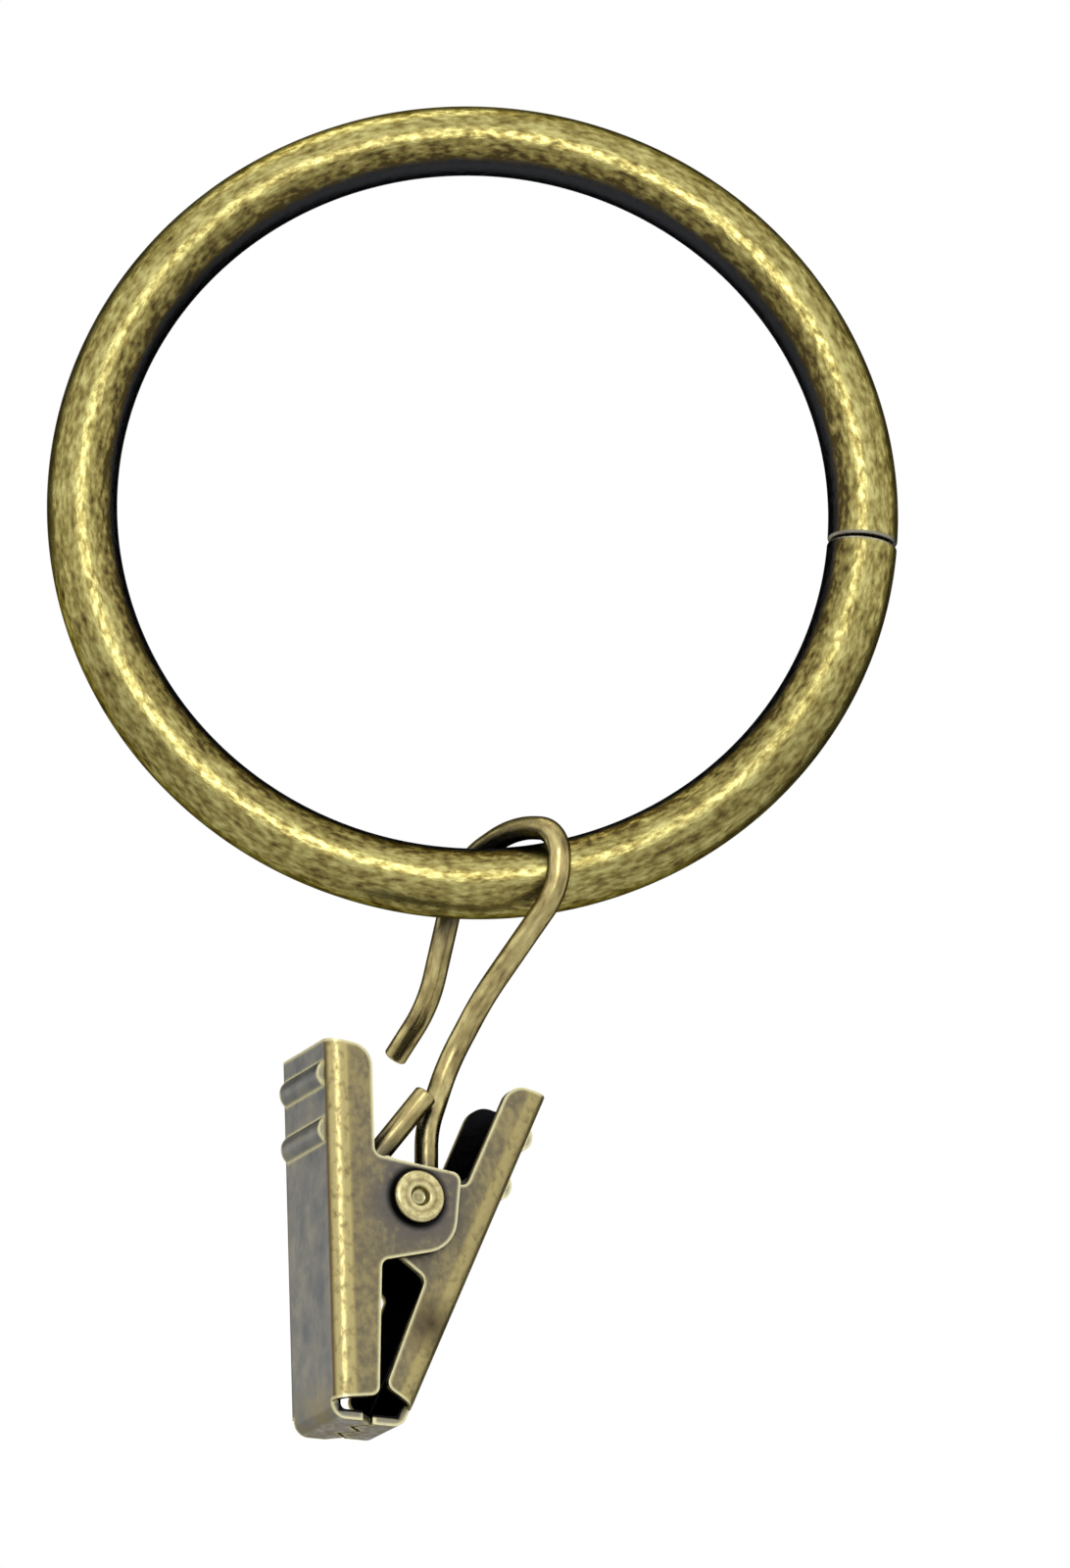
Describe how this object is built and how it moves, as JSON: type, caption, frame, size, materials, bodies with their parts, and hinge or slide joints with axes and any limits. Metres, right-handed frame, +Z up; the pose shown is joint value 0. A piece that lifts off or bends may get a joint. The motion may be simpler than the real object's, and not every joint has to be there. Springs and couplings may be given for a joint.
{
  "type": "curtain ring with clip",
  "caption": "Bent-wire curtain ring with a seam, carrying a wire hook whose eye holds a sprung toothed clip for the top edge of a curtain.",
  "frame": {"origin": "centre of the ring, where the curtain rod passes through", "axes": "+Y along the rod through the ring; +Z up, from the clip towards the top of the ring; +X to the seam's side of the ring"},
  "size_m": [0.0454, 0.0113, 0.0733],
  "materials": {
    "ring": "antique brass plating on steel wire, satin with dark patina",
    "hook": "antique brass plating on steel wire, satin",
    "outer_jaw": "antique brass plating on stamped steel sheet, worn bright at its edges",
    "inner_jaw": "antique brass plating on stamped steel sheet, worn bright at its edges",
    "rivet": "antique brass plating, worn bright",
    "spring": "dark drawn spring wire"
  },
  "bodies": {
    "ring": {"ring": "ring"},
    "hook": {"hook": "hook"},
    "clip": {"outer_jaw": "outer_jaw", "rivet": "rivet", "spring": "spring"},
    "jaw": {"inner_jaw": "inner_jaw"}
  },
  "joints": [
    {"name": "hook_swing", "type": "hinge", "parent": "ring", "child": "hook", "pos_m": [0.00178, 0, -0.0208], "axis": [0.9964, 0, 0.0853], "range_deg": [-75, 75]},
    {"name": "clip_swing", "type": "hinge", "parent": "hook", "child": "clip", "pos_m": [-0.00418, 0, -0.03873], "axis": [-0.3665, 0.9304, 0], "range_deg": [-6, 30]},
    {"name": "jaw_open", "type": "hinge", "parent": "clip", "child": "jaw", "pos_m": [-0.00418, 0, -0.03873], "axis": [0.3665, -0.9304, 0], "range_deg": [0, 18], "stiffness_Nm_per_rad": 0.02, "springref_deg": -0.57, "deforming": ["spring"]}
  ]
}
